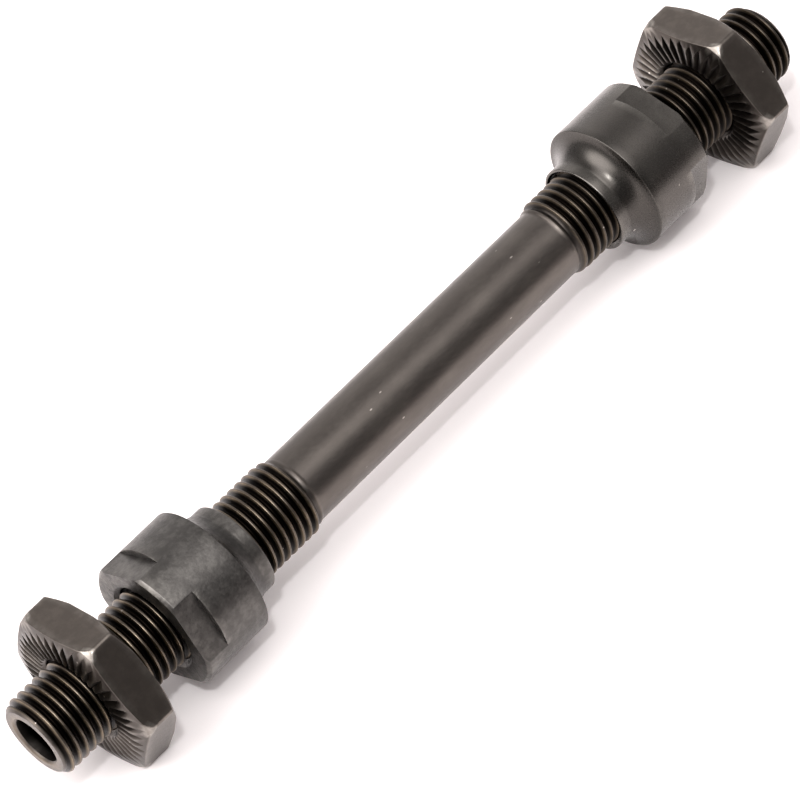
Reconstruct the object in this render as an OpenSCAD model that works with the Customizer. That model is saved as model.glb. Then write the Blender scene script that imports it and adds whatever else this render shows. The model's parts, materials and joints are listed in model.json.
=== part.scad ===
// A hollow bicycle hub axle with its two bearing cones and its two locknuts, as they sit loose on it.
// The axle lies along X with its middle at the origin, and +Z is up. Both locknuts stand on a flat.
// Left is the -X end and right is the +X end. An inset is counted inwards from the axle's own end.
// Lengths are in millimetres and angles in degrees.

/* [Axle] */
// Length between the two end faces
axle_len = 108; // [96:1:150]
// Diameter over the crests of both threads
thread_d = 8.8; // [8.6:0.05:9]
// Diameter of the plain shank between the threads
shank_d = 7.85; // [7.5:0.05:8]
// Diameter of the bore that the skewer runs through
bore_d = 5.25; // [5:0.05:5.6]
// Length of the left thread, run-out included
left_thread_len = 36.2; // [32:0.1:38]
// Length of the right thread, run-out included
right_thread_len = 34.3; // [32:0.1:38]
// Length over which a thread fades into the shank
runout_len = 1; // [0.5:0.1:2]
// Pitch of both threads
thread_pitch = 1; // [0.9:0.05:1.25]
// Depth of both threads
thread_depth = 0.53; // [0.4:0.01:0.54]
// Share of the pitch that is left as the flat crest
thread_crest_share = 0.26; // [0.2:0.02:0.3]
// Inset of the middle of each thread's first groove
first_groove = 1.45; // [1.4:0.05:2]
// Bevel at each end of the thread
end_bevel = 0.7; // [0.4:0.05:0.8]
// Bevel at each mouth of the bore
bore_bevel = 0.25; // [0.1:0.05:0.4]

/* [Cones] */
// Diameter of the cone's round body
cone_d = 14.7; // [14.2:0.1:15.6]
// Length of the round body, without the ball race
cone_body_len = 8.2; // [7:0.1:9.5]
// Length of the ball race along the axle
race_len = 2.3; // [2:0.05:2.6]
// Radius of the race's hollow curve
race_r = 2.6; // [2.4:0.05:3.4]
// Diameter of the neck inside the race
neck_d = 10.2; // [9.9:0.1:10.6]
// Length of the neck
neck_len = 1.15; // [0.8:0.05:1.5]
// Width across the spanner flats
cone_af = 13; // [12.6:0.1:13.6]
// Length of the spanner flats
cone_flat_len = 2.8; // [2:0.1:4]
// Number of spanner flats
cone_flat_count = 4; // [2:2:4]
// Angle of the left cone's flats about the axle
left_cone_turn = 17; // [-45:1:45]
// Angle of the right cone's flats about the axle
right_cone_turn = 21; // [-45:1:45]

/* [Locknuts] */
// Width across the flats of the hexagon
nut_af = 16.6; // [16.2:0.1:17]
// Diameter over the worn corners of the hexagon
nut_corner_d = 19; // [18.6:0.1:19.2]
// Thickness from the toothed face to the plain face
nut_t = 4.4; // [4:0.1:4.8]
// Number of teeth pressed into the gripping face
tooth_count = 40; // [30:1:44]
// Depth of the tooth gaps where the face's bevel starts
tooth_depth = 0.3; // [0.2:0.02:0.34]
// Share of the tooth spacing that the steep side of a tooth takes
steep_share = 0.3; // [0.2:0.02:0.5]
// Share of the tooth spacing that is left as a crest
crest_share = 0.06; // [0.02:0.02:0.2]
// Angle of the first tooth gap from the upper flat
tooth_turn = 8; // [0:0.5:9]
// Diameter at which the toothed face's bevel starts
face_bevel_d = 14; // [13.4:0.1:15]
// Depth that the toothed face's bevel would reach at the corners
face_bevel_drop = 0.7; // [0.6:0.05:0.8]
// Diameter at which a steeper bevel cuts the corners on that side
corner_bevel_d = 18.2; // [17.8:0.1:18.5]
// Depth of the steeper bevel at the corners
corner_bevel_drop = 1.2; // [1:0.1:1.6]
// Depth of the plain face's bevel at the corners
back_bevel_drop = 0.6; // [0.4:0.05:0.8]

/* [Places] */
// Inset of the left locknut's toothed face
left_nut_inset = 5.95; // [1:0.05:9]
// Inset of the left cone's outer face
left_cone_inset = 16.1; // [14:0.1:18]
// Inset of the right locknut's plain face
right_nut_inset = 6.35; // [1:0.05:9]
// Inset of the right cone's outer face
right_cone_inset = 16.85; // [14:0.1:18]

/* [Hidden] */

$fn = 96;
half_len = axle_len / 2;
thread_r = thread_d / 2;
root_r = thread_r - thread_depth;
// Widths of a thread groove at its mouth and at its floor, for 60 degree flanks
groove_mouth = thread_pitch * (1 - thread_crest_share);
groove_floor = groove_mouth - 2 * thread_depth * tan(30);
// Room between the thread crests and the tapped holes
thread_gap = 0.05;
hole_r = thread_r + thread_gap;
// Countersink at each mouth of a tapped hole: its reach outwards and its depth
mouth_r = thread_r + 0.65;
mouth_depth = mouth_r - hole_r;
// The neck is too thin for the full countersink
neck_mouth_r = neck_d / 2 - 0.25;
neck_mouth_depth = neck_mouth_r - hole_r;
neck_round_r = 0.2;
cone_bevel = 0.35;
cone_len = cone_body_len + race_len + neck_len;
race_inner = [neck_d / 2, -cone_len + neck_len];
race_outer = [cone_d / 2, -cone_body_len];
face_bevel_r = face_bevel_d / 2;
nut_corner_r = nut_corner_d / 2;
corner_bevel_r = corner_bevel_d / 2;
// How far the toothed face's bevel drops for each step outwards
face_slope = face_bevel_drop / (nut_corner_r - face_bevel_r);
// The plain face has the usual 30 degree bevel
back_bevel_reach = back_bevel_drop / tan(30);
// How far the cutting bodies stand clear of the metal that they cut
clear = 0.6;

AXLE_COLOUR = "#3a3430";
CONE_COLOUR = "#4b4947";
NUT_COLOUR = "#413c39";

// Turns a piece built along Z so that its top faces the -X end. Its local +X side then faces up.
module facing_left() {
    rotate([0, -90, 0]) children();
}

// Turns a piece built along Z so that its top faces the +X end
module facing_right() {
    rotate([0, 90, 0]) children();
}

// Centre of the circle of radius r through p and q, on the right-hand side of the way from p to q
function arc_centre(p, q, r) =
    let (chord = q - p, len = norm(chord), rise = sqrt(r * r - len * len / 4))
    (p + q) / 2 + rise * [chord[1], -chord[0]] / len;

// A thread's grooves as [radius, inset from the axle's end].
// They are rings, as a helix can't be built exactly from these solids.
function thread_grooves(thread_len) =
    let (last = floor((thread_len - runout_len - first_groove - groove_mouth / 2) / thread_pitch))
    [for (i = [0:last]) each groove(first_groove + i * thread_pitch)];

// The four corners of one groove
function groove(middle) = [
    [thread_r, middle - groove_mouth / 2],
    [root_r, middle - groove_floor / 2],
    [root_r, middle + groove_floor / 2],
    [thread_r, middle + groove_mouth / 2]
];

// Half section of the axle, radius against length
module axle_section() {
    root_left = -half_len + left_thread_len;
    root_right = half_len - right_thread_len;
    left_grooves = thread_grooves(left_thread_len);
    right_grooves = thread_grooves(right_thread_len);
    polygon(concat(
        [
            [bore_d / 2, -half_len + bore_bevel],
            [bore_d / 2 + bore_bevel, -half_len],
            [thread_r - end_bevel, -half_len],
            [thread_r, -half_len + end_bevel]
        ],
        [for (corner = left_grooves) [corner[0], -half_len + corner[1]]],
        [
            [thread_r, root_left - runout_len],
            [shank_d / 2, root_left],
            [shank_d / 2, root_right],
            [thread_r, root_right + runout_len]
        ],
        [for (i = [len(right_grooves) - 1:-1:0]) [right_grooves[i][0], half_len - right_grooves[i][1]]],
        [
            [thread_r, half_len - end_bevel],
            [thread_r - end_bevel, half_len],
            [bore_d / 2 + bore_bevel, half_len],
            [bore_d / 2, half_len - bore_bevel]
        ]
    ));
}

module axle() {
    color(AXLE_COLOUR) facing_right() rotate_extrude() axle_section();
}

// Half section of a cone with its outer face at height 0 and its neck at the bottom
module cone_section() {
    difference() {
        polygon([
            [hole_r, -mouth_depth],
            [mouth_r, 0],
            [cone_d / 2 - cone_bevel, 0],
            [cone_d / 2, -cone_bevel],
            race_outer,
            race_inner,
            [neck_d / 2, -cone_len],
            [neck_mouth_r, -cone_len],
            [hole_r, -cone_len + neck_mouth_depth]
        ]);
        translate(arc_centre(race_inner, race_outer, race_r)) circle(r = race_r);
        translate([neck_d / 2 - neck_round_r, -cone_len - clear]) neck_corner();
    }
}

// What the rounding of the neck's outer edge takes away
module neck_corner() {
    difference() {
        square([neck_round_r + clear, neck_round_r + clear]);
        translate([0, neck_round_r + clear]) circle(r = neck_round_r);
    }
}

// A cone with the first of its spanner flats turned from local +X
module cone(turn) {
    color(CONE_COLOUR) difference() {
        rotate_extrude() cone_section();
        for (i = [0:cone_flat_count - 1]) {
            rotate([0, 0, turn + i * 360 / cone_flat_count])
                translate([cone_af / 2, -cone_d / 2, -cone_flat_len])
                    cube([cone_d, cone_d, cone_flat_len + clear]);
        }
    }
}

// Half section of the round blank that bevels the hexagon, with the toothed face at height 0
module nut_section() {
    polygon([
        [hole_r, -mouth_depth],
        [mouth_r, 0],
        [face_bevel_r, 0],
        [corner_bevel_r, (face_bevel_r - corner_bevel_r) * face_slope],
        [nut_corner_r, -corner_bevel_drop],
        [nut_corner_r, -nut_t + back_bevel_drop],
        [nut_corner_r - back_bevel_reach, -nut_t],
        [mouth_r, -nut_t],
        [hole_r, -nut_t + mouth_depth]
    ]);
}

// A gap between two teeth, cut along local +X, with a steep side and a slanting side like a ratchet's.
// The cut is tilted, so it gets deeper and wider outwards at one rate and leaves crests of an even share.
// It runs out to a point on the bevel.
module tooth_gap() {
    tilt = atan(tooth_depth / face_bevel_r);
    spacing = 2 * PI * face_bevel_r / tooth_count;
    // The cutter's height, and what it widens by for each step up
    top = 2 * tooth_depth;
    steep = steep_share * spacing / tooth_depth;
    slant = (1 - steep_share - crest_share) * spacing / tooth_depth;
    inner_r = hole_r - clear;
    rotate([0, tilt, 0])
        translate([inner_r, 0, 0])
            rotate([90, 0, 90])
                linear_extrude(nut_corner_r + clear - inner_r)
                    polygon([[0, 0], [steep * top, top], [-slant * top, top]]);
}

module locknut() {
    color(NUT_COLOUR) difference() {
        intersection() {
            rotate_extrude() nut_section();
            translate([0, 0, -nut_t - clear])
                rotate([0, 0, 30]) cylinder(d = nut_af / cos(30), h = nut_t + 2 * clear, $fn = 6);
        }
        for (i = [0:tooth_count - 1]) {
            rotate([0, 0, tooth_turn + i * 360 / tooth_count]) tooth_gap();
        }
    }
}

module left_cone() {
    translate([-half_len + left_cone_inset, 0, 0]) facing_left() cone(left_cone_turn);
}

module right_cone() {
    translate([half_len - right_cone_inset, 0, 0]) facing_right() cone(right_cone_turn);
}

module left_locknut() {
    translate([-half_len + left_nut_inset, 0, 0]) facing_left() locknut();
}

// The right locknut is on the other way round, with its teeth towards the cone
module right_locknut() {
    translate([half_len - right_nut_inset - nut_t, 0, 0]) facing_left() locknut();
}

axle();
left_cone();
right_cone();
left_locknut();
right_locknut();
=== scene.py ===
"""Looks of a hollow bicycle hub axle with two bearing cones and two toothed locknuts.

The axle lies along X with its middle at the origin and +Z up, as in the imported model. Sizes are
written in millimetres and meshes are built in metres. Each turned or milled piece is a set of half
sections set round the axis, and a Geometry Nodes tree adds the helical threads to it.
"""

from __future__ import annotations

import json
import logging
import math
from dataclasses import dataclass, field
from enum import Enum
from typing import Any

import bmesh
import bpy
import numpy as np
from mathutils import Matrix, Vector

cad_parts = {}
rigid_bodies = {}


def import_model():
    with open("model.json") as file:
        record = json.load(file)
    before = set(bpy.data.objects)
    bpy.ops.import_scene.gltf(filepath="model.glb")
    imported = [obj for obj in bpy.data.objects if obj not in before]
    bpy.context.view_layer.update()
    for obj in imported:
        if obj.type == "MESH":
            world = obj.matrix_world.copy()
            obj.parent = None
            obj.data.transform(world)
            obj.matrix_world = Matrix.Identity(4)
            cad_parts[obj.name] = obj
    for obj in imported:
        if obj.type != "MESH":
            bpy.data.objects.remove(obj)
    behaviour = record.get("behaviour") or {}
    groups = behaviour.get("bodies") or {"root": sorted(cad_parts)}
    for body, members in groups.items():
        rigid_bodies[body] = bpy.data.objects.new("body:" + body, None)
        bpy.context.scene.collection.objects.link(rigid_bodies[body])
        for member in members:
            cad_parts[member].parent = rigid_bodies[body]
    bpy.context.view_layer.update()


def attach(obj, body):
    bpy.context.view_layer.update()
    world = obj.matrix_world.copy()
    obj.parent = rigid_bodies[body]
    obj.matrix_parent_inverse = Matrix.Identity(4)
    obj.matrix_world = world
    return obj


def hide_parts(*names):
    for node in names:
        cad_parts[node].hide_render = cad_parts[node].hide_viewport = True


LOG = logging.getLogger("hub_axle")

MM = 0.001

# Vertex attributes that carry wear and painted shade from the meshes to the materials
WORN = "worn"
PAINTED_SHADE = "painted_shade"

# Lines of a ring in a half section, between its angles and its painted shade
RADIUS, HEIGHT, WEAR = 1, 2, 3

# Colour sockets of a Mix node, whose names repeat for each type of value
MIX_FIRST, MIX_SECOND, MIX_RESULT = 6, 7, 2

# Limits of a Map Range node
MAP_LIMITS = ("From Min", "From Max", "To Min", "To Max")


def linear(hex_colour: str) -> tuple[float, float, float, float]:
    """Turns an sRGB hex colour into linear light.

    Args:
        hex_colour: Colour such as "#3a3430".

    Returns:
        Red, green, blue and an alpha of 1.
    """
    channels = []
    for start in (1, 3, 5):
        value = int(hex_colour[start : start + 2], 16) / 255
        channels.append(value / 12.92 if value <= 0.04045 else ((value + 0.055) / 1.055) ** 2.4)
    return (*channels, 1.0)


def add_node(
    tree: bpy.types.NodeTree, kind: str, inputs: dict[Any, Any] | None = None, **settings: Any
) -> Any:
    """Adds a node to a tree, with its settings and its links.

    Args:
        tree: Node tree of a material, the world or a modifier.
        kind: Type name of the node.
        inputs: Value or output socket for each input, by its name or its number.
        **settings: Attributes of the node.

    Returns:
        The new node.
    """
    node = tree.nodes.new(kind)
    for name, value in settings.items():
        setattr(node, name, value)
    for key, value in (inputs or {}).items():
        if isinstance(value, bpy.types.NodeSocket):
            tree.links.new(value, node.inputs[key])
        else:
            node.inputs[key].default_value = value
    return node


class Hand(Enum):
    """Which way a thread winds."""

    LEFT = -1.0
    RIGHT = 1.0


class Facing(Enum):
    """Which end of the axle the outer face of a piece looks at."""

    LEFT = -1
    RIGHT = 1


# Both threads lean in the photograph as left-hand threads do
THREAD_HAND = Hand.LEFT


@dataclass
class Section:
    """Half sections of a piece, one for each column of vertices round its axis.

    A ring holds one line each of angles, radii, heights, wear and painted shade. Heights are
    counted from the piece's outer face, and are negative inside the piece. Angles are counted
    towards
    +Y, from +Z where the outer face looks left and from -Z where it looks right. Wear and painted
    shade run from 0 to 1 and only change the colour; the painted shade darkens hollows where shade
    falls.
    """

    columns: int
    rings: list[np.ndarray] = field(default_factory=list)
    corners: dict[int, tuple[Any, Any]] = field(default_factory=dict)

    # A way between two rings counts as at least this long, in millimetres
    SHORTEST_WAY = 1e-9
    # A rounding takes up less than half of the way to the next ring
    LARGEST_SHARE = 0.45

    def row(
        self,
        angle: Any,
        radius: Any,
        height: Any,
        worn: Any = 0.0,
        painted_shade: Any = 0.0,
        rounding: tuple[Any, Any] | None = None,
    ) -> None:
        """Adds one ring of vertices.

        Args:
            angle: Angles in radians.
            radius: Radii in millimetres.
            height: Heights in millimetres.
            worn: Wear from 0 to 1.
            painted_shade: Painted shade on the ring, darker deeper in a hollow, from 0 to 1.
            rounding: How far a rounding of this ring reaches, in millimetres, and how worn it is.
        """
        if rounding is not None:
            self.corners[len(self.rings)] = rounding
        lines = (angle, radius, height, worn, painted_shade)
        spread = [np.broadcast_to(np.asarray(v, float), (self.columns,)) for v in lines]
        self.rings.append(np.stack(spread))

    def span(self, steps: int, *lines: Any) -> None:
        """Adds rings on the straight way from the last ring to the given one, without that one.

        Args:
            steps: Number of parts that the way is cut into.
            *lines: The far ring, as row takes it.
        """
        start = self.rings[-1]
        self.row(*lines)
        end = self.rings.pop()
        for step in range(1, steps):
            self.rings.append(start + (end - start) * step / steps)

    def soften(self, steps: int = 3) -> Section:
        """Rounds the rings that have a rounding.

        Args:
            steps: Number of flats that a rounding is made of.

        Returns:
            A new section with the roundings in place of those rings.
        """
        made = Section(self.columns)
        for k, ring in enumerate(self.rings):
            if k not in self.corners:
                made.rings.append(ring)
                continue
            reach, wear = self.corners[k]
            ends = []
            for other in (self.rings[k - 1], self.rings[k + 1]):
                way = other - ring
                length = np.maximum(np.hypot(way[RADIUS], way[HEIGHT]), self.SHORTEST_WAY)
                ends.append(ring + way * np.minimum(reach / length, self.LARGEST_SHARE))
            for step in range(steps + 1):
                u = step / steps
                bent = ends[0] * (1 - u) ** 2 + ring * 2 * u * (1 - u) + ends[1] * u**2
                bent[WEAR] = np.maximum(ring[WEAR], wear)
                made.rings.append(bent)
        return made

    def mesh(self, name: str, facing: Facing, at: float) -> bpy.types.Mesh:
        """Joins the rings into a skin round the axle.

        Args:
            name: Name of the mesh.
            facing: End of the axle that the outer face looks at.
            at: Place of the outer face along the axle, in millimetres.

        Returns:
            The mesh, in metres.
        """
        angle, radius, height, worn, painted_shade = np.stack(self.rings, axis=1)
        turn = facing.value
        aside, up = radius * np.sin(angle), -turn * radius * np.cos(angle)
        places = np.stack([at + turn * height, aside, up], axis=-1)
        faces = []
        for below in range(0, (len(self.rings) - 1) * self.columns, self.columns):
            above = below + self.columns
            for j in range(self.columns):
                after = (j + 1) % self.columns
                faces.append((below + j, below + after, above + after, above + j))
        made = bpy.data.meshes.new(name)
        made.from_pydata((places.reshape(-1, 3) * MM).tolist(), [], faces)
        for layer, values in ((WORN, worn), (PAINTED_SHADE, painted_shade)):
            stored = made.attributes.new(layer, "FLOAT", "POINT")
            stored.data.foreach_set("value", values.ravel())
        return made


@dataclass(frozen=True)
class ThreadForm:
    """A 60 degree screw thread of 1 mm pitch, one turn of it given as rows of vertices.

    Each row has its share of the pitch, its height from the root (1 at the crest) and its wear.
    """

    pitch: float = 1.0
    rows: tuple[tuple[float, float, float], ...] = (
        (0.0, 0.86, 0.5),
        (0.03, 0.97, 1.0),
        (0.07, 1.0, 0.2),
        (0.19, 1.0, 0.2),
        (0.23, 0.97, 1.0),
        (0.26, 0.86, 0.5),
        (0.39, 0.5, 0.0),
        (0.525, 0.06, 0.0),
        (0.59, 0.0, 0.0),
        (0.67, 0.0, 0.0),
        (0.735, 0.06, 0.0),
        (0.87, 0.5, 0.0),
    )


class ThreadTree:
    """Geometry Nodes tree that joins a helical thread to a piece.

    The thread is a sheet of vertices. Its rows follow the helix, so its crests are smooth, and its
    two ends are squeezed flat into rings, which meet the rings of the piece.
    """

    INPUTS = {
        "Place": "NodeSocketVector",
        "Turn": "NodeSocketRotation",
        "Columns": "NodeSocketInt",
        "Material": "NodeSocketMaterial",
    } | dict.fromkeys(
        ("Length", "Crest Radius", "Root Radius", "End Radius", "Far Radius")
        + ("Run-out", "Phase", "Hand", "Wear", "Dark Below"),
        "NodeSocketFloat",
    )
    # Columns of the thread form's rows
    SHARE, LEVEL, RUB = range(3)
    # Steps whose result is kept between 0 and 1
    CLAMPED = ("full", "begun", "dark")
    MERGE_DISTANCE = 0.002 * MM
    # Share of the thread's height over which the painted shade on its flanks gets dark
    DARK_BLEND = 0.5
    # Way from the end ring over which wear and painted shade set in
    START_BLEND = 0.4 * MM
    # Arithmetic of the thread: the name of each result, its operation, and its operands, which
    # are numbers or names. Where a column stands for the operation, the operand is looked up.
    STEPS: tuple[tuple[Any, ...], ...] = (
        # The sheet has whole turns, and one more at each end
        ("turns", "DIVIDE", "Length", "pitch"),
        ("turns", "CEIL", "turns"),
        ("turns", "ADD", "turns", 2.0),
        ("rows", "MULTIPLY", "turns", "per turn"),
        ("row ends", "ADD", "rows", 1.0),
        ("column ends", "ADD", "Columns", 1.0),
        # Row and column of a vertex, counted from a corner of the flat sheet
        ("half", "MULTIPLY", "rows", 0.5),
        ("row", "ADD", "x", "half"),
        ("row", "ROUND", "row"),
        ("half", "MULTIPLY", "Columns", 0.5),
        ("column", "ADD", "y", "half"),
        ("column", "ROUND", "column"),
        ("turn", "DIVIDE", "column", "Columns"),
        # Whole turns before the row, and its part of the next one
        ("whole", "ADD", "row", 0.5),
        ("whole", "DIVIDE", "whole", "per turn"),
        ("whole", "FLOOR", "whole"),
        ("part", "MULTIPLY", "whole", "per turn"),
        ("part", "SUBTRACT", "row", "part"),
        ("part", "DIVIDE", "part", "per turn"),
        ("height", LEVEL, "part"),
        ("share", SHARE, "part"),
        ("rub", RUB, "part"),
        # Place along the thread, held between its ends
        ("along", "ADD", "whole", "share"),
        ("along", "ADD", "along", "turn"),
        ("along", "ADD", "along", "Phase"),
        ("along", "SUBTRACT", "along", 2.0),
        ("along", "MULTIPLY", "along", "pitch"),
        ("along", "MAXIMUM", "along", 0.0),
        ("along", "MINIMUM", "along", "Length"),
        # Radius of the thread, cut by the bevel at its start
        ("depth", "SUBTRACT", "Crest Radius", "Root Radius"),
        ("outward", "SIGN", "depth"),
        ("cut", "MULTIPLY_ADD", "depth", "height", "Root Radius"),
        ("cut", "MULTIPLY", "cut", "outward"),
        ("bevel", "MULTIPLY_ADD", "outward", "along", "End Radius"),
        ("bevel", "MULTIPLY", "bevel", "outward"),
        ("cut", "MINIMUM", "cut", "bevel"),
        ("cut", "MULTIPLY", "cut", "outward"),
        # Run-out at its far end, where the grooves get shallow
        ("left", "SUBTRACT", "Length", "along"),
        ("full", "DIVIDE", "left", "Run-out"),
        ("smooth", "MULTIPLY_ADD", "full", -2.0, 3.0),
        ("square", "MULTIPLY", "full", "full"),
        ("smooth", "MULTIPLY", "square", "smooth"),
        ("rise", "SUBTRACT", "cut", "Far Radius"),
        ("radius", "MULTIPLY_ADD", "rise", "smooth", "Far Radius"),
        ("angle", "MULTIPLY", "turn", math.tau),
        ("angle", "MULTIPLY", "angle", "Hand"),
        ("y bent", "COSINE", "angle"),
        ("y bent", "MULTIPLY", "radius", "y bent"),
        ("z bent", "SINE", "angle"),
        ("z bent", "MULTIPLY", "radius", "z bent"),
        # Wear and painted shade in the roots, but none on the two end rings, which other faces
        # share
        ("begun", "DIVIDE", "along", START_BLEND),
        ("inside", "MULTIPLY", "begun", "smooth"),
        ("below", "SUBTRACT", "Dark Below", "height"),
        ("dark", "DIVIDE", "below", DARK_BLEND),
        (PAINTED_SHADE, "MULTIPLY", "dark", "inside"),
        (WORN, "MULTIPLY", "rub", "Wear"),
        (WORN, "MULTIPLY", WORN, "inside"),
    )

    def __init__(self, form: ThreadForm) -> None:
        """Builds the tree.

        Args:
            form: The thread's form.
        """
        self.form = form
        self.tree = bpy.data.node_groups.new("Helical thread", "GeometryNodeTree")
        face = self.tree.interface
        face.new_socket(name="Geometry", in_out="INPUT", socket_type="NodeSocketGeometry")
        self.ids = {
            name: face.new_socket(name=name, in_out="INPUT", socket_type=kind).identifier
            for name, kind in self.INPUTS.items()
        }
        face.new_socket(name="Geometry", in_out="OUTPUT", socket_type="NodeSocketGeometry")
        self._build()

    def _draw(self, mapping: bpy.types.CurveMapping, column: int) -> None:
        """Draws a column of the thread form's rows as a curve over one turn.

        Args:
            mapping: Curves of the node that looks the column up.
            column: Number of the column.
        """
        rows = self.form.rows
        curve = mapping.curves[0]
        curve.points[0].location = (0.0, rows[0][column])
        curve.points[1].location = (1.0, 1.0 if column == self.SHARE else rows[0][column])
        for k in range(1, len(rows)):
            curve.points.new(k / len(rows), rows[k][column])
        for point in curve.points:
            point.handle_type = "VECTOR"
        mapping.update()

    def _build(self) -> None:
        """Adds the nodes."""
        tree = self.tree
        given = add_node(tree, "NodeGroupInput").outputs
        flat = add_node(tree, "GeometryNodeInputPosition").outputs[0]
        flat = add_node(tree, "ShaderNodeSeparateXYZ", {0: flat}).outputs
        known = {name: given[name] for name in self.INPUTS}
        known |= {"x": flat["X"], "y": flat["Y"]}
        known |= {"pitch": self.form.pitch * MM, "per turn": len(self.form.rows)}
        for name, step, *operands in self.STEPS:
            values = [known[v] if isinstance(v, str) else v for v in operands]
            if isinstance(step, int):
                node = add_node(tree, "ShaderNodeFloatCurve", {"Value": values[0]})
                self._draw(node.mapping, step)
            else:
                settings = {"operation": step, "use_clamp": name in self.CLAMPED}
                node = add_node(tree, "ShaderNodeMath", dict(enumerate(values)), **settings)
            known[name] = node.outputs[0]
        sheet = {"Size X": known["rows"], "Size Y": known["Columns"]}
        sheet |= {"Vertices X": known["row ends"], "Vertices Y": known["column ends"]}
        skin = add_node(tree, "GeometryNodeMeshGrid", sheet).outputs[0]
        # Rows and columns are counted from the flat sheet, so the sheet is bent last
        for layer in (WORN, PAINTED_SHADE):
            stored = {"Geometry": skin, "Name": layer, "Value": known[layer]}
            skin = add_node(tree, "GeometryNodeStoreNamedAttribute", stored, domain="POINT")
            skin = skin.outputs[0]
        bent = {"X": known["along"], "Y": known["y bent"], "Z": known["z bent"]}
        spot = add_node(tree, "ShaderNodeCombineXYZ", bent).outputs[0]
        for kind, values in (
            ("GeometryNodeSetPosition", {"Position": spot}),
            ("GeometryNodeTransform", {"Translation": given["Place"], "Rotation": given["Turn"]}),
            ("GeometryNodeJoinGeometry", {}),
            ("GeometryNodeMergeByDistance", {"Distance": self.MERGE_DISTANCE}),
            ("GeometryNodeRealizeInstances", {}),
            ("GeometryNodeSetMaterial", {"Material": given["Material"]}),
            ("NodeGroupOutput", {}),
        ):
            node = add_node(tree, kind, {"Geometry": skin, **values})
            if kind == "GeometryNodeJoinGeometry":
                tree.links.new(given["Geometry"], node.inputs[0])
            skin = node.outputs[0] if node.outputs else None

    def add_to(self, piece: bpy.types.Object, **values: Any) -> None:
        """Adds a thread to a piece as a modifier.

        Args:
            piece: Object that the thread joins.
            **values: Value of each input, by its name with underscores for spaces and hyphens.
        """
        modifier = piece.modifiers.new("Thread", "NODES")
        modifier.node_group = self.tree
        for name, socket in self.ids.items():
            modifier[socket] = values[name.replace(" ", "_").replace("-", "_").lower()]


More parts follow.
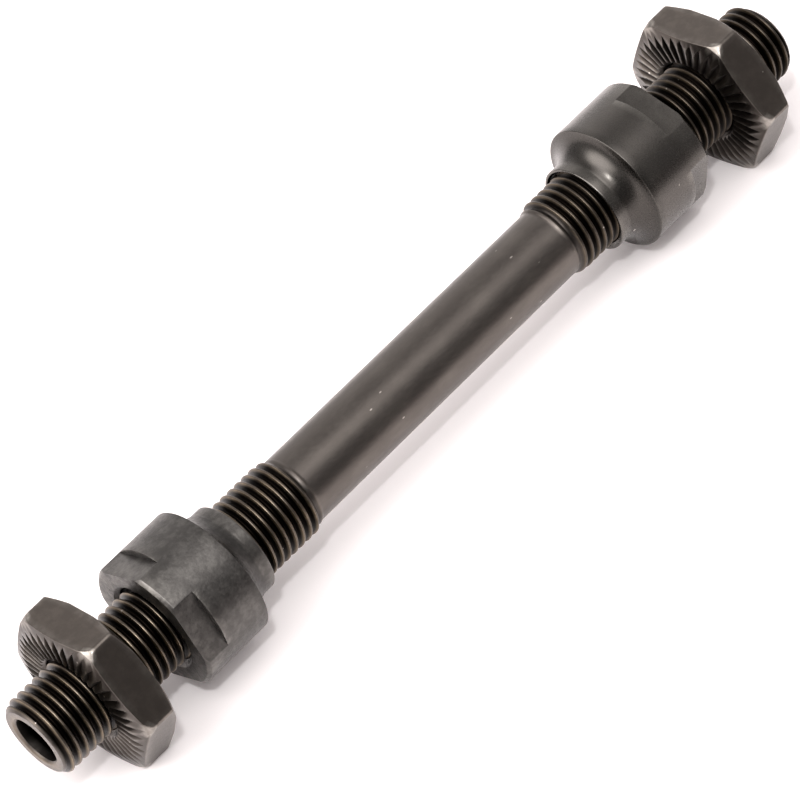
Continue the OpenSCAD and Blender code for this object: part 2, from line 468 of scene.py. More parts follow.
@dataclass(frozen=True)
class BlackenedSteel:
    """Black oxide on steel: a thin dark conversion layer that keeps the metal's shine.

    Tumbling and handling rub the layer thin, so the steel shows paler on edges and crests. Sizes
    are in millimetres. The layer's cloudy patches are 1 to 2 mm wide on the real pieces. Its grain
    is finer than 0.1 mm, too fine to show in the render, so it is drawn 0.2 to 0.3 mm wide.
    """

    name: str
    colour: str
    pale_colour: str
    worn_colour: str
    shade_colour: str
    roughness: tuple[float, float]
    mottle_size: float
    mottle_share: float
    worn_share: float
    grain_size: float = 0.22
    grain_depth: float = 0.004
    stretch: tuple[float, float, float] = (1.0, 1.0, 1.0)
    speck_size: float = 0.7
    speck_share: float = 0.0

    # Detail and roughness of the two noises
    MOTTLE_NOISE = (6.0, 0.62)
    GRAIN_NOISE = (3.0, 0.6)
    # Values of the noises between which the layer turns pale, is rubbed and turns rough
    PALE_RANGE = (0.4, 0.68)
    RUB_RANGE = (0.38, 0.6)
    ROUGH_RANGE = (0.3, 0.7)
    # Share of its wear that the least rubbed spot of an edge keeps
    LEAST_RUB = 0.35
    # Nicks left by handling: radii at which they start to fade and end, in shares of their spacing
    SPECK_RANGE = (0.05, 0.11)
    SPECK_COLOUR = "#b9b2ab"

    def material(self) -> bpy.types.Material:
        """Builds the material.

        Returns:
            The new material.
        """
        made = bpy.data.materials.new(self.name)
        made.use_nodes = True
        tree = made.node_tree
        tree.nodes.clear()
        place = add_node(tree, "ShaderNodeTexCoord").outputs["Object"]
        # One unit of the mapped coordinates is one millimetre
        scale = tuple(value / MM for value in self.stretch)
        place = add_node(tree, "ShaderNodeMapping", {"Vector": place, "Scale": scale}).outputs[0]
        noises = []
        for size, (detail, fineness) in (
            (self.mottle_size, self.MOTTLE_NOISE),
            (self.grain_size, self.GRAIN_NOISE),
        ):
            values = {"Vector": place, "Scale": 1 / size, "Detail": detail, "Roughness": fineness}
            noises.append(add_node(tree, "ShaderNodeTexNoise", values).outputs[0])
        mottle, grain = noises
        cells = {"Vector": place, "Scale": 1 / self.speck_size}
        cells = add_node(tree, "ShaderNodeTexVoronoi", cells, feature="F1").outputs
        levels = []
        for value, span, ends, blend in (
            (mottle, self.PALE_RANGE, (0.0, self.mottle_share), "SMOOTHSTEP"),
            (mottle, self.RUB_RANGE, (self.LEAST_RUB, 1.0), "LINEAR"),
            (grain, self.ROUGH_RANGE, self.roughness, "LINEAR"),
            (cells["Distance"], self.SPECK_RANGE, (1.0, 0.0), "LINEAR"),
        ):
            values = {"Value": value, **dict(zip(MAP_LIMITS, (*span, *ends)))}
            node = add_node(tree, "ShaderNodeMapRange", values, interpolation_type=blend)
            levels.append(node.outputs[0])
        pale, rub, rough, near = levels
        painted_shade, worn = (
            add_node(tree, "ShaderNodeAttribute", attribute_name=layer).outputs["Fac"]
            for layer in (PAINTED_SHADE, WORN)
        )
        for factor in (rub, self.worn_share):
            worn = add_node(tree, "ShaderNodeMath", {0: worn, 1: factor}, operation="MULTIPLY")
            worn = worn.outputs[0]
        speck = add_node(tree, "ShaderNodeSeparateColor", {0: cells["Color"]}).outputs[0]
        for operation, limit in (("LESS_THAN", self.speck_share), ("MULTIPLY", near)):
            speck = add_node(tree, "ShaderNodeMath", {0: speck, 1: limit}, operation=operation)
            speck = speck.outputs[0]
        colour: Any = linear(self.colour)
        # Mixes in the random pale patches, the painted shade of hollows, wear and nicks, in that
        # order
        for share, hex_colour in (
            (pale, self.pale_colour),
            (painted_shade, self.shade_colour),
            (worn, self.worn_colour),
            (speck, self.SPECK_COLOUR),
        ):
            values = {"Factor": share, MIX_FIRST: colour, MIX_SECOND: linear(hex_colour)}
            mixed = add_node(tree, "ShaderNodeMix", values, data_type="RGBA")
            colour = mixed.outputs[MIX_RESULT]
        bump = add_node(
            tree,
            "ShaderNodeBump",
            {"Height": grain, "Strength": 1.0, "Distance": self.grain_depth * MM},
        ).outputs[0]
        shader = add_node(
            tree,
            "ShaderNodeBsdfPrincipled",
            {"Base Color": colour, "Metallic": 1.0, "Roughness": rough, "Normal": bump},
        )
        add_node(tree, "ShaderNodeOutputMaterial", {"Surface": shader.outputs[0]})
        return made


# Steel bar with rolled threads, blackened in hot salts and oiled. The eye sees a brown black that
# shines in long soft streaks on the shank, thin bronze lines where the crests are rubbed, and near
# black painted shade in the thread's roots. Its patches are drawn out along the axle, as the bar
# was.
THREADED_STEEL = BlackenedSteel(
    name="Oiled black oxide on rolled steel",
    colour="#605b57",
    pale_colour="#6d6863",
    worn_colour="#c2ab88",
    shade_colour="#0d0a08",
    roughness=(0.3, 0.42),
    mottle_size=2.2,
    mottle_share=0.6,
    worn_share=0.9,
    stretch=(0.45, 1.0, 1.0),
    speck_size=0.9,
    speck_share=0.2,
)
# Turned steel that was tumbled with grit before it was blackened. The eye sees an uneven, cloudy
# grey and a broad highlight that sparkles, because the pits of the grit scatter it.
TUMBLED_STEEL = BlackenedSteel(
    name="Tumbled black oxide on turned steel",
    colour="#575553",
    pale_colour="#6f6d6a",
    worn_colour="#b5b1aa",
    shade_colour="#161514",
    roughness=(0.32, 0.5),
    mottle_size=1.1,
    mottle_share=0.7,
    worn_share=0.6,
    grain_size=0.3,
    grain_depth=0.02,
    speck_size=1.6,
    speck_share=0.05,
)
# Finely turned and ground steel under the same black. The eye sees an even dark grey with small,
# clear highlights, brightest in the hollow of the ball race.
TURNED_STEEL = BlackenedSteel(
    name="Satin black oxide on turned steel",
    colour="#585552",
    pale_colour="#605d59",
    worn_colour="#b0ada6",
    shade_colour="#161614",
    roughness=(0.24, 0.32),
    mottle_size=2.0,
    mottle_share=0.5,
    worn_share=0.6,
    speck_size=1.7,
    speck_share=0.05,
)
# Forged hexagon nuts with pressed teeth, blackened. The eye sees satin facets, each at its own grey
# as it faces the light, and bare bright steel where the corners knocked together.
PRESSED_STEEL = BlackenedSteel(
    name="Satin black oxide on forged steel",
    colour="#5c5651",
    pale_colour="#69625c",
    worn_colour="#c9c4bc",
    shade_colour="#211d1a",
    roughness=(0.28, 0.36),
    mottle_size=1.4,
    mottle_share=0.6,
    worn_share=0.7,
    speck_size=1.2,
    speck_share=0.08,
)


def soft_min(a: np.ndarray, b: Any, width: float) -> np.ndarray:
    """Gives the smaller of two values, with the change from one to the other rounded.

    Args:
        a: First values.
        b: Second values.
        width: Difference within which the change is rounded.

    Returns:
        The rounded minimum.
    """
    mix = np.clip(0.5 + 0.5 * (b - a) / width, 0, 1)
    return b * (1 - mix) + a * mix - width * mix * (1 - mix)


@dataclass
class Piece:
    """What every piece has: its name, CAD node, finish and threads, and the name of a material
    slot, which is not used.
    """

    name: str
    node: str
    slot: str
    finish: BlackenedSteel
    shade_angle: float = 38.0

    # Edges shorter than this, in metres, are dissolved
    SHORTEST_EDGE = 1e-8
    # How much a large face outweighs its rounded neighbours in the shading
    FLAT_WEIGHT = 60

    def dress(
        self, mesh: bpy.types.Mesh, tree: ThreadTree, threads: list[dict[str, Any]]
    ) -> None:
        """Turns a skin into a finished piece that rides on its body in place of its CAD node.

        Args:
            mesh: The piece's skin, open where its threads go.
            tree: The thread tree.
            threads: Inputs of each thread.
        """
        material = self.finish.material()
        mesh.materials.append(material)
        draft = bpy.data.objects.new(self.name + "_draft", mesh)
        bpy.context.scene.collection.objects.link(draft)
        for values in threads:
            tree.add_to(draft, material=material, **values)
        bpy.context.view_layer.update()
        graph = bpy.context.evaluated_depsgraph_get()
        solid = bpy.data.meshes.new_from_object(draft.evaluated_get(graph))
        bpy.data.objects.remove(draft)
        solid.name = self.name
        self._close(solid)
        made = bpy.data.objects.new(self.name, solid)
        bpy.context.scene.collection.objects.link(made)
        self._shade(made)
        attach(made, self.node)
        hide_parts(self.node)
        LOG.info("%s: %d faces on body %s", self.name, len(made.data.polygons), self.node)

    def _close(self, mesh: bpy.types.Mesh) -> None:
        """Merges doubled vertices, drops faces without area and turns the rest outwards.

        Args:
            mesh: The piece's mesh.
        """
        work = bmesh.new()
        work.from_mesh(mesh)
        bmesh.ops.remove_doubles(work, verts=work.verts, dist=ThreadTree.MERGE_DISTANCE)
        bmesh.ops.dissolve_degenerate(work, dist=self.SHORTEST_EDGE, edges=work.edges)
        loose = [v for v in work.verts if not v.link_faces]
        bmesh.ops.delete(work, geom=loose, context="VERTS")
        bmesh.ops.recalc_face_normals(work, faces=work.faces)
        open_edges = sum(1 for e in work.edges if len(e.link_faces) != 2)
        work.to_mesh(mesh)
        work.free()
        if open_edges:
            LOG.warning("%s: %d open edges", self.name, open_edges)

    def _shade(self, made: bpy.types.Object) -> None:
        """Shades the piece smooth, with its sharp edges kept and its flats flat.

        Args:
            made: The piece.
        """
        made.data.shade_smooth()
        made.data.set_sharp_from_angle(angle=math.radians(self.shade_angle))
        weight = made.modifiers.new("Flat faces stay flat", "WEIGHTED_NORMAL")
        weight.keep_sharp = True
        weight.weight = self.FLAT_WEIGHT


@dataclass
class Axle(Piece):
    """The hollow axle, threaded at both ends."""

    length: float = 108.0
    crest_radius: float = 4.4
    root_radius: float = 3.87
    shank_radius: float = 3.925
    bore_radius: float = 2.625
    left_thread: float = 36.2
    right_thread: float = 34.3
    run_out: float = 1.6
    end_bevel: float = 0.7
    bore_bevel: float = 0.25
    bore_shade: float = 1.2
    columns: int = 96
    shank_steps: int = 8
    left_phase: float = 0.22
    right_phase: float = 0.93
    left_wear: float = 0.5
    right_wear: float = 0.25
    left_dark_below: float = 1.17
    right_dark_below: float = 1.26

    # Rounding of the bore's mouth in millimetres, and its wear
    MOUTH_EDGE = (0.08, 0.2)

    def build(self, tree: ThreadTree) -> None:
        """Builds the axle.

        Args:
            tree: The thread tree.
        """
        half = self.length / 2
        end_radius = self.crest_radius - self.end_bevel
        angle = np.arange(self.columns) * math.tau / self.columns
        mouth = self.bore_radius + self.bore_bevel
        parts = []
        for side in (-1, 1):
            ring = Section(self.columns)
            ring.row(angle, end_radius, side * half)
            ring.row(angle, mouth, side * half, rounding=self.MOUTH_EDGE)
            ring.row(angle, self.bore_radius, side * (half - self.bore_bevel))
            # Painted shade inside the bore, full from bore_shade in
            ring.row(angle, self.bore_radius, side * (half - self.bore_shade), painted_shade=1.0)
            ring.row(angle, self.bore_radius, 0.0, painted_shade=1.0)
            parts.append(ring.soften(steps=2).mesh("end", Facing.RIGHT, 0.0))
        shank = Section(self.columns)
        shank.row(angle, self.shank_radius, -half + self.left_thread)
        shank.span(self.shank_steps, angle, self.shank_radius, half - self.right_thread)
        shank.row(angle, self.shank_radius, half - self.right_thread)
        parts.append(shank.mesh("shank", Facing.RIGHT, 0.0))
        work = bmesh.new()
        for part in parts:
            work.from_mesh(part)
            bpy.data.meshes.remove(part)
        mesh = bpy.data.meshes.new(self.name)
        work.to_mesh(mesh)
        work.free()
        shared = {
            "crest_radius": self.crest_radius * MM,
            "root_radius": self.root_radius * MM,
            "end_radius": end_radius * MM,
            "far_radius": self.shank_radius * MM,
            "run_out": self.run_out * MM,
            "hand": THREAD_HAND.value,
            "columns": self.columns,
        }
        left = (-half, 0.0, self.left_thread, self.left_phase, self.left_wear, self.left_dark_below)
        right = (half, math.pi, self.right_thread)
        right += (self.right_phase, self.right_wear, self.right_dark_below)
        threads = [
            {
                **shared,
                "place": (at * MM, 0.0, 0.0),
                "turn": (0.0, 0.0, turn),
                "length": length * MM,
                "phase": phase,
                "wear": wear,
                "dark_below": dark_below,
            }
            for at, turn, length, phase, wear, dark_below in (left, right)
        ]
        self.dress(mesh, tree, threads)


@dataclass(frozen=True)
class TappedHole:
    """The tapped hole of a cone or locknut, cut clear of the axle's crests."""

    crest_radius: float = 4.45
    root_radius: float = 4.8
    ring_radius: float = 4.82
    run_out: float = 0.3
    wear: float = 0.2
    dark_below: float = 1.0

    def thread(
        self, facing: Facing, at: float, start: float, length: float, columns: int
    ) -> dict[str, Any]:
        """Gives the inputs of the thread in a hole.

        Args:
            facing: End of the axle that the piece's outer face looks at.
            at: Place of the piece's outer face, in millimetres.
            start: Height at which the thread starts, in millimetres.
            length: Length of the thread.
            columns: Number of columns round the hole.

        Returns:
            The thread tree's inputs.
        """
        place = (at + facing.value * start) * MM
        turn = math.pi if facing is Facing.RIGHT else 0.0
        return {
            "place": (place, 0.0, 0.0),
            "turn": (0.0, 0.0, turn),
            "length": length * MM,
            "crest_radius": self.crest_radius * MM,
            "root_radius": self.root_radius * MM,
            "end_radius": self.ring_radius * MM,
            "far_radius": self.ring_radius * MM,
            "run_out": self.run_out * MM,
            "phase": 0.0,
            "hand": THREAD_HAND.value,
            "wear": self.wear,
            "dark_below": self.dark_below,
            "columns": columns,
        }


@dataclass
class Cone(Piece):
    """A bearing cone: round body with spanner flats outside and a hollow ball race inside."""

    facing: Facing = Facing.LEFT
    face_at: float = -37.9
    flat_turn: float = 17.0
    body_radius: float = 7.35
    body_length: float = 8.2
    race_length: float = 2.3
    race_radius: float = 2.6
    neck_radius: float = 5.1
    neck_length: float = 1.15
    flat_distance: float = 6.5
    flat_length: float = 2.8
    flats: int = 4
    bevel: float = 0.35
    mouth_radius: float = 5.05
    neck_mouth_radius: float = 4.85
    body_steps: int = 6
    race_steps: int = 12
    hole: TappedHole = field(default_factory=TappedHole)

    # Angles from a flat's middle, with the number of columns from each to the next, which stand
    # close together where the flat ends
    COLUMN_PLAN = ((-45.0, 8), (-29.2, 7), (-26.2, 18), (26.2, 7), (29.2, 8), (45.0, 0))
    # Millimetres over which a flat blends into the body, and over which its step gets a full edge
    FLAT_BLEND = 0.02
    STEP_BLEND = 0.1
    # Painted shade in the countersink, on the outer face and in the race
    MOUTH_PAINTED_SHADE = 0.8
    FACE_PAINTED_SHADE = 0.75
    RACE_SHADE = 0.35
    # Rounding of each edge in millimetres, and its wear
    MOUTH_EDGE = (0.05, 0.25)
    FACE_EDGE = (0.06, 0.5)
    BEVEL_EDGE = (0.06, 0.25)
    STEP_EDGE = (0.06, 0.4)
    BODY_EDGE = (0.07, 0.1)
    RACE_EDGE = (0.06, 0.2)
    NECK_EDGE = (0.16, 0.2)
    NECK_MOUTH_EDGE = (0.04, 0.15)

    def _angles(self) -> np.ndarray:
        """Works out the columns, which stand close together where the flats end.

        Returns:
            Their angles in radians.
        """
        sector = []
        for (start, count), (end, _) in zip(self.COLUMN_PLAN, self.COLUMN_PLAN[1:]):
            sector.extend(np.linspace(start, end, count, endpoint=False))
        turns = [self.flat_turn + k * 360 / self.flats for k in range(self.flats)]
        return np.radians(np.concatenate([turn + np.array(sector) for turn in turns]))

    def _race(self) -> np.ndarray:
        """Works out the hollow arc of the race, from the body to the neck.

        Returns:
            The radius and height of its points.
        """
        outer = np.array([self.body_radius, -self.body_length])
        inner = np.array([self.neck_radius, -self.body_length - self.race_length])
        chord = outer - inner
        length = float(np.hypot(*chord))
        rise = math.sqrt(self.race_radius**2 - length**2 / 4)
        centre = (inner + outer) / 2 + rise * np.array([chord[1], -chord[0]]) / length
        start, end = (math.atan2(*(p - centre)[::-1]) for p in (outer, inner))
        if end < start - math.pi:
            end += math.tau
        if end > start + math.pi:
            end -= math.tau
        turn = np.linspace(start, end, self.race_steps + 1)
        return centre + self.race_radius * np.stack([np.cos(turn), np.sin(turn)], axis=-1)

    def build(self, tree: ThreadTree) -> None:
        """Builds the cone.

        Args:
            tree: The thread tree.
        """
        angle = self._angles()
        columns = len(angle)
        # The hole's rings stand at the thread's own columns
        step = math.tau / columns
        even = np.round((angle[0] + np.arange(columns) * step) / step) * step
        half_sector = 180 / self.flats
        off = np.degrees(angle) - self.flat_turn + half_sector
        off = off % (2 * half_sector) - half_sector
        side = self.flat_distance / np.cos(np.radians(off))
        side = soft_min(side, self.body_radius, self.FLAT_BLEND)
        stepped = np.clip((self.body_radius - side) / self.STEP_BLEND, 0, 1)
        full = self.body_length + self.race_length + self.neck_length
        ring = self.hole.ring_radius
        start = -(self.mouth_radius - ring)
        edge = self.body_radius - self.bevel
        section = Section(columns)
        # The rings deep in the hole carry full painted shade
        section.row(even, ring, start, painted_shade=1.0)
        section.row(angle, self.mouth_radius, 0.0, painted_shade=self.MOUTH_PAINTED_SHADE, rounding=self.MOUTH_EDGE)
        face_edge = np.minimum(edge, side)
        section.row(angle, face_edge, 0.0, painted_shade=self.FACE_PAINTED_SHADE, rounding=self.FACE_EDGE)
        section.row(angle, side, -np.maximum(0.0, side - edge), rounding=self.BEVEL_EDGE)
        section.row(angle, side, -self.flat_length)
        reach, wear = self.STEP_EDGE
        section.row(angle, self.body_radius, -self.flat_length, rounding=(reach, wear * stepped))
        section.span(self.body_steps, angle, self.body_radius, -self.body_length)
        race_edges = {0: self.BODY_EDGE, self.race_steps: self.RACE_EDGE}
        for k, (radius, height) in enumerate(self._race()):
            section.row(angle, radius, height, painted_shade=self.RACE_SHADE, rounding=race_edges.get(k))
        section.row(angle, self.neck_radius, -full, rounding=self.NECK_EDGE)
        section.row(angle, self.neck_mouth_radius, -full, rounding=self.NECK_MOUTH_EDGE)
        section.row(even, ring, -full + self.neck_mouth_radius - ring, painted_shade=1.0)
        mesh = section.soften().mesh(self.name, self.facing, self.face_at)
        length = full + start - (self.neck_mouth_radius - ring)
        thread = self.hole.thread(self.facing, self.face_at, start, length, columns)
        self.dress(mesh, tree, [thread])


@dataclass
class Locknut(Piece):
    """A hexagonal locknut with a ring of pressed ratchet teeth on one face."""

    facing: Facing = Facing.LEFT
    face_at: float = -48.05
    flat_distance: float = 8.3
    corner_radius: float = 9.5
    thickness: float = 4.4
    teeth: int = 40
    tooth_depth: float = 0.3
    steep_share: float = 0.3
    crest_share: float = 0.06
    tooth_turn: float = 8.0
    bevel_radius: float = 7.0
    bevel_drop: float = 0.7
    corner_bevel_radius: float = 9.1
    corner_bevel_drop: float = 1.2
    back_drop: float = 0.6
    back_bevel: float = 30.0
    mouth_radius: float = 5.05
    tooth_steps: int = 5
    shoulder_steps: int = 2
    side_steps: int = 5
    back_steps: int = 3
    hole: TappedHole = field(default_factory=TappedHole)

    # Angle from one corner of the hexagon to the next, in degrees
    SECTOR = 60.0
    # Power by which columns crowd towards the corners
    CROWDING = 1.6
    # Millimetres over which a corner is blended, and over which its cut gets full
    CORNER_BLEND = 0.05
    CUT_BLEND = 0.1
    # Room in millimetres for the roundings: inside the sides, before that shoulder, and at the back
    SHOULDER_ROOM = 0.14
    RUN_OUT_ROOM = 0.04
    BACK_ROOM = 0.02
    # Degrees from a corner within which the edge between two sides is worn
    WORN_ANGLE = 4.0
    CREST_WEAR = 0.35
    EDGE_WEAR = 0.18
    CUT_WEAR = 0.6
    CORNER_WEAR = 0.85
    # Painted shade on the toothed face, which the tooth gaps carry in full
    FACE_PAINTED_SHADE = 0.45
    # Rounding of each edge in millimetres, and its wear
    MOUTH_EDGE = (0.04, 0.1)
    SHOULDER_EDGE = (0.08, 0.4)
    SIDE_EDGE = (0.12, EDGE_WEAR)
    BACK_EDGE = (0.06, EDGE_WEAR)
    BACK_MOUTH_EDGE = (0.05, 0.3)
    # Rounding of the front edge, and how much wider it is at a corner
    FRONT_REACH = 0.1
    CORNER_REACH = 0.2

    def _tooth_angles(self) -> tuple[np.ndarray, np.ndarray]:
        """Gives the angles of the columns along the teeth, and how high each stands in its gap.

        Returns:
            The angles in radians, and the heights, 0 at the bottom of a gap and 1 at a crest.
        """
        crest_end = self.steep_share + self.crest_share
        slant = 1 - crest_end
        down = [crest_end, crest_end + slant / 3, crest_end + slant * 2 / 3]
        shares = np.array([0, self.steep_share / 2, self.steep_share, *down])
        rise = np.array([0, 0.5, 1, 1, 2 / 3, 1 / 3])
        spacing = 360 / self.teeth
        angles = [self.tooth_turn + (k + shares) * spacing for k in range(self.teeth)]
        return np.radians(np.concatenate(angles)), np.tile(rise, self.teeth)

    def _side_angles(self, even: np.ndarray) -> np.ndarray:
        """Crowds even angles towards the hexagon's corners, the first half a sector from 0.

        Args:
            even: Evenly spread angles in radians.

        Returns:
            The crowded angles in radians.
        """
        half = self.SECTOR / 2
        off = (np.degrees(even) % self.SECTOR) - half
        crowded = half * np.sign(off) * (np.abs(off) / half) ** self.CROWDING
        return np.radians(np.degrees(even) - off + crowded)

    def build(self, tree: ThreadTree) -> None:
        """Builds the locknut.

        Args:
            tree: The thread tree.
        """
        tooth_angle, rise = self._tooth_angles()
        columns = len(tooth_angle)
        step = math.tau / columns
        even = math.radians(self.tooth_turn) + np.arange(columns) * step
        ring_angle = np.round(even / step) * step
        side_angle = self._side_angles(even)
        half = self.SECTOR / 2
        off = np.abs((np.degrees(side_angle) % self.SECTOR) - half)
        side = self.flat_distance / np.cos(np.radians(half - off))
        side = soft_min(side, self.corner_radius, self.CORNER_BLEND)
        cut_from = self.corner_bevel_radius
        corner = np.clip((side - cut_from) / self.CUT_BLEND, 0, 1)
        edge_wear = self.EDGE_WEAR * np.clip(1 - off / self.WORN_ANGLE, 0, 1)
        slope = self.bevel_drop / (self.corner_radius - self.bevel_radius)
        steep = self.corner_bevel_drop - slope * (cut_from - self.bevel_radius)
        steep /= self.corner_radius - cut_from
        fall = self.tooth_depth / self.bevel_radius * (1 - rise)
        crest = np.where(rise == 1, self.CREST_WEAR, 0.0)
        # Painted shade, full at the bottom of each tooth gap and lighter on the crests
        hollow = self.FACE_PAINTED_SHADE + (1 - self.FACE_PAINTED_SHADE) * (1 - rise)
        ring = self.hole.ring_radius
        start = -(self.mouth_radius - ring)
        mouth = self.mouth_radius / (1 + fall)
        section = Section(columns)
        # The rings deep in the hole carry full painted shade
        section.row(ring_angle, ring, start, painted_shade=1.0)
        drop = -(self.mouth_radius - mouth)
        section.row(tooth_angle, mouth, drop, crest, hollow, self.MOUTH_EDGE)
        # The shoulder stands a little inside the hexagon's edge, so that the edge can be rounded
        shoulder = np.minimum(side - self.SHOULDER_ROOM, cut_from)
        run_out = slope * self.bevel_radius / (slope - fall)
        run_out = np.minimum(run_out, shoulder - self.RUN_OUT_ROOM)
        drop = -fall * run_out
        section.span(self.tooth_steps, tooth_angle, run_out, drop, crest, hollow)
        section.row(tooth_angle, run_out, drop, crest, self.FACE_PAINTED_SHADE)
        drop = slope * (self.bevel_radius - shoulder)
        section.span(self.shoulder_steps, side_angle, shoulder, drop, 0.0, self.FACE_PAINTED_SHADE)
        reach, wear = self.SHOULDER_EDGE
        # Painted shade on the face fades out where a corner is cut
        cut_wear, face_shade = self.CUT_WEAR * corner, self.FACE_PAINTED_SHADE * (1 - corner)
        section.row(side_angle, shoulder, drop, cut_wear, face_shade, (reach, wear * corner))
        edge = slope * (self.bevel_radius - np.minimum(side, cut_from))
        edge -= steep * np.maximum(0, side - cut_from)
        reach = self.FRONT_REACH + self.CORNER_REACH * corner
        wear = self.EDGE_WEAR + (self.CORNER_WEAR - self.EDGE_WEAR) * corner
        section.row(side_angle, side, edge, edge_wear, rounding=(reach, wear))
        tilt = math.tan(math.radians(self.back_bevel))
        back_start = self.corner_radius - self.back_drop / tilt
        back_edge = -self.thickness + np.maximum(0, side - back_start) * tilt
        section.span(self.side_steps, side_angle, side, back_edge, edge_wear)
        section.row(side_angle, side, back_edge, edge_wear, rounding=self.SIDE_EDGE)
        back = np.minimum(side - self.BACK_ROOM, back_start)
        section.row(side_angle, back, -self.thickness, rounding=self.BACK_EDGE)
        section.span(self.back_steps, ring_angle, self.mouth_radius, -self.thickness)
        rounding = self.BACK_MOUTH_EDGE
        section.row(ring_angle, self.mouth_radius, -self.thickness, rounding=rounding)
        section.row(ring_angle, ring, -self.thickness + self.mouth_radius - ring, painted_shade=1.0)
        mesh = section.soften().mesh(self.name, self.facing, self.face_at)
        length = self.thickness + 2 * start
        thread = self.hole.thread(self.facing, self.face_at, start, length, columns)
        self.dress(mesh, tree, [thread])


@dataclass(frozen=True)
class Patch:
    """A round patch of the room that is brighter or darker than the rest.

    Its size is given by the cosines of two angles from its middle: that of its outer edge, where it
    starts, and that of its core, where it is full.
    """

    middle: tuple[float, float, float]
    edge: float
    core: float
    change: float


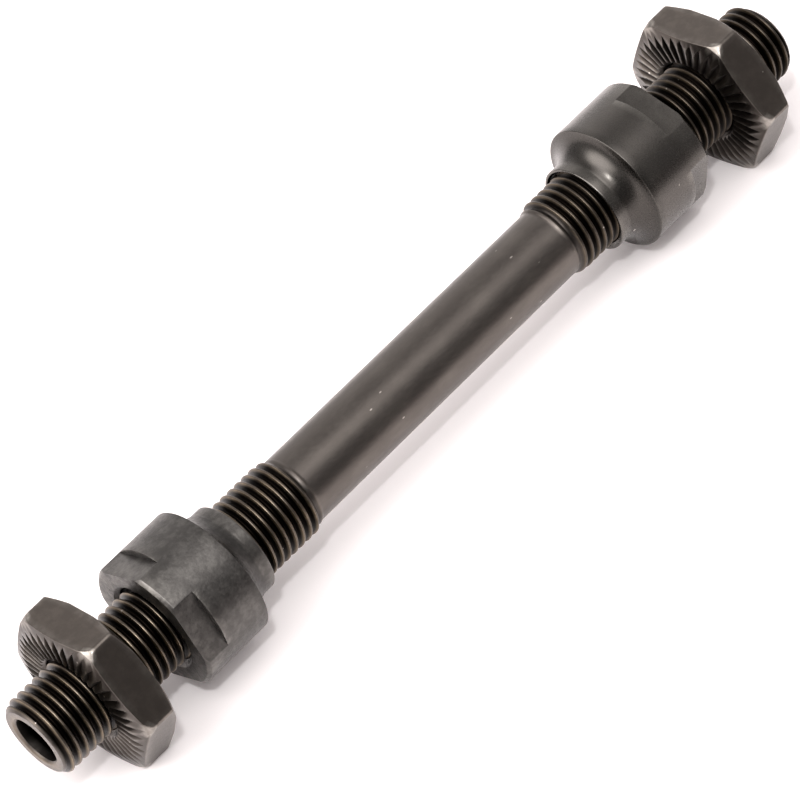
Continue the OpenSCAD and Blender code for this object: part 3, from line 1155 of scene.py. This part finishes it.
@dataclass
class Studio:
    """The floor, the lights and the camera."""

    floor_height: float = -8.3
    floor_size: float = 6000.0
    floor_colour: str = "#f9f5f5"
    painted_reflection_colour: str = "#464342"
    paper_edge: tuple[float, float] = (-50.0, -16.0)
    floor_glow: tuple[float, float, float] = (0.1, 0.09, 0.09)
    camera_at: tuple[float, float, float] = (-162.9, -263.5, 269.7)
    camera_look: tuple[float, float, float] = (0.3897, 0.6421, -0.6602)
    camera_up: tuple[float, float, float] = (0.6416, 0.3249, 0.6948)
    camera_lens: float = 188.2
    camera_sensor: float = 36.0
    camera_near: float = 10.0
    key_from: tuple[float, float, float] = (-0.286, -0.477, 0.831)
    key_distance: float = 600.0
    key_size: float = 40.0
    key_power: float = 1.05
    room_colour: str = "#fffaf9"
    room_strength: float = 0.5
    dark_corner: Patch = Patch((-0.3, -0.95, 0.1), 0.3, 0.95, -0.34)
    pale_wall: Patch = Patch((0.55, 0.75, 0.37), 0.7, 1.1, 0.9)
    lit_ceiling: Patch = Patch((-0.05, -0.43, 0.89), 0.84, 0.97, 2.5)
    window: Patch = Patch((-0.66, 0.15, 0.73), 0.82, 0.98, 5.0)

    def build(self) -> None:
        """Builds the studio."""
        self._floor()
        self._world()
        self._key()
        self._camera()
        bpy.context.scene.view_settings.view_transform = "Standard"

    def _floor(self) -> None:
        """Lays white paper that keeps shadows, with a painted dark reflection in front of it."""
        half = self.floor_size / 2 * MM
        mesh = bpy.data.meshes.new("floor")
        corners = [
            (x * half, y * half, self.floor_height * MM)
            for x, y in ((-1, -1), (1, -1), (1, 1), (-1, 1))
        ]
        mesh.from_pydata(corners, [], [(0, 1, 2, 3)])
        # Uncoated paper without a shine. The eye sees an even white that only the shadows darken.
        # The camera sees paper everywhere; from the paper's edge on, reflections in the metal and
        # bounced light see a dark painted reflection in place of a table.
        paper = bpy.data.materials.new("Matt white paper")
        paper.use_nodes = True
        tree = paper.node_tree
        tree.nodes.clear()
        path = add_node(tree, "ShaderNodeLightPath").outputs
        values = {0: path["Is Camera Ray"], 1: path["Is Glossy Ray"]}
        seen = add_node(tree, "ShaderNodeMath", values, operation="MAXIMUM").outputs[0]
        spot = add_node(tree, "ShaderNodeTexCoord").outputs["Object"]
        spot = add_node(tree, "ShaderNodeSeparateXYZ", {0: spot}).outputs["Y"]
        near, far = (edge * MM for edge in self.paper_edge)
        values = {"Value": spot, **dict(zip(MAP_LIMITS, (near, far, 1.0, 0.0)))}
        beyond = add_node(tree, "ShaderNodeMapRange", values, interpolation_type="SMOOTHSTEP")
        values = {0: 1.0, 1: path["Is Camera Ray"]}
        unseen = add_node(tree, "ShaderNodeMath", values, operation="SUBTRACT").outputs[0]
        values = {0: beyond.outputs[0], 1: unseen}
        beyond = add_node(tree, "ShaderNodeMath", values, operation="MULTIPLY").outputs[0]
        white, dark = linear(self.floor_colour), linear(self.painted_reflection_colour)
        values = {"Factor": beyond, MIX_FIRST: white, MIX_SECOND: dark}
        colour = add_node(tree, "ShaderNodeMix", values, data_type="RGBA").outputs[MIX_RESULT]
        matt = add_node(tree, "ShaderNodeBsdfDiffuse", {"Color": colour}).outputs[0]
        glow = {"Color": (*self.floor_glow, 1.0), "Strength": seen}
        glow = add_node(tree, "ShaderNodeEmission", glow).outputs[0]
        both = add_node(tree, "ShaderNodeAddShader", {0: matt, 1: glow}).outputs[0]
        add_node(tree, "ShaderNodeOutputMaterial", {"Surface": both})
        mesh.materials.append(paper)
        floor = bpy.data.objects.new("floor", mesh)
        bpy.context.scene.collection.objects.link(floor)

    def _world(self) -> None:
        """Makes a plain room with its dark corner, pale wall, lit ceiling and window."""
        world = bpy.data.worlds.new("Room with a pale wall")
        bpy.context.scene.world = world
        world.use_nodes = True
        tree = world.node_tree
        tree.nodes.clear()
        way = add_node(tree, "ShaderNodeTexCoord").outputs["Generated"]
        way = add_node(tree, "ShaderNodeVectorMath", {0: way}, operation="NORMALIZE").outputs[0]
        level: Any = self.room_strength
        for patch in (self.dark_corner, self.pale_wall, self.lit_ceiling, self.window):
            middle = Vector(patch.middle).normalized()
            values = {0: way, 1: middle}
            near = add_node(tree, "ShaderNodeVectorMath", values, operation="DOT_PRODUCT")
            limits = dict(zip(MAP_LIMITS, (patch.edge, patch.core, 0.0, patch.change)))
            values = {"Value": near.outputs["Value"], **limits}
            share = add_node(tree, "ShaderNodeMapRange", values, interpolation_type="SMOOTHSTEP")
            values = {0: level, 1: share.outputs[0]}
            level = add_node(tree, "ShaderNodeMath", values, operation="ADD").outputs[0]
        light = {"Color": linear(self.room_colour), "Strength": level}
        room = add_node(tree, "ShaderNodeBackground", light)
        add_node(tree, "ShaderNodeOutputWorld", {"Surface": room.outputs[0]})

    def _key(self) -> None:
        """Hangs a round soft lamp above the camera."""
        lamp = bpy.data.lights.new("key", "AREA")
        lamp.shape = "DISK"
        lamp.size = self.key_size * MM
        lamp.energy = self.key_power
        made = bpy.data.objects.new("key", lamp)
        direction = Vector(self.key_from).normalized()
        made.location = direction * self.key_distance * MM
        made.rotation_euler = (-direction).to_track_quat("-Z", "Y").to_euler()
        bpy.context.scene.collection.objects.link(made)

    def _camera(self) -> None:
        """Sets the camera at the photograph's angle."""
        data = bpy.data.cameras.new("camera")
        data.lens = self.camera_lens
        data.sensor_width = self.camera_sensor
        data.clip_start = self.camera_near * MM
        made = bpy.data.objects.new("camera", data)
        back = -Vector(self.camera_look).normalized()
        right = Vector(self.camera_up).cross(back).normalized()
        up = back.cross(right)
        turn = Matrix((right, up, back)).transposed().to_4x4()
        made.matrix_world = Matrix.Translation(Vector(self.camera_at) * MM) @ turn
        bpy.context.scene.collection.objects.link(made)
        bpy.context.scene.camera = made


def main() -> None:
    """Builds the studio and the pieces."""
    logging.basicConfig(level=logging.INFO, format="%(message)s")
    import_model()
    Studio().build()
    tree = ThreadTree(ThreadForm())
    pieces: tuple[Axle | Cone | Locknut, ...] = (
        Axle("threaded_axle", "axle", "axle_black", THREADED_STEEL),
        Cone("left_bearing_cone", "left_cone", "cone_black", TUMBLED_STEEL),
        Cone(
            "right_bearing_cone",
            "right_cone",
            "cone_black",
            TURNED_STEEL,
            facing=Facing.RIGHT,
            face_at=37.15,
            flat_turn=21.0,
        ),
        Locknut("left_toothed_locknut", "left_locknut", "nut_black", PRESSED_STEEL),
        Locknut(
            "right_toothed_locknut", "right_locknut", "nut_black", PRESSED_STEEL, face_at=43.25
        ),
    )
    for piece in pieces:
        piece.build(tree)


if __name__ == "__main__":
    main()
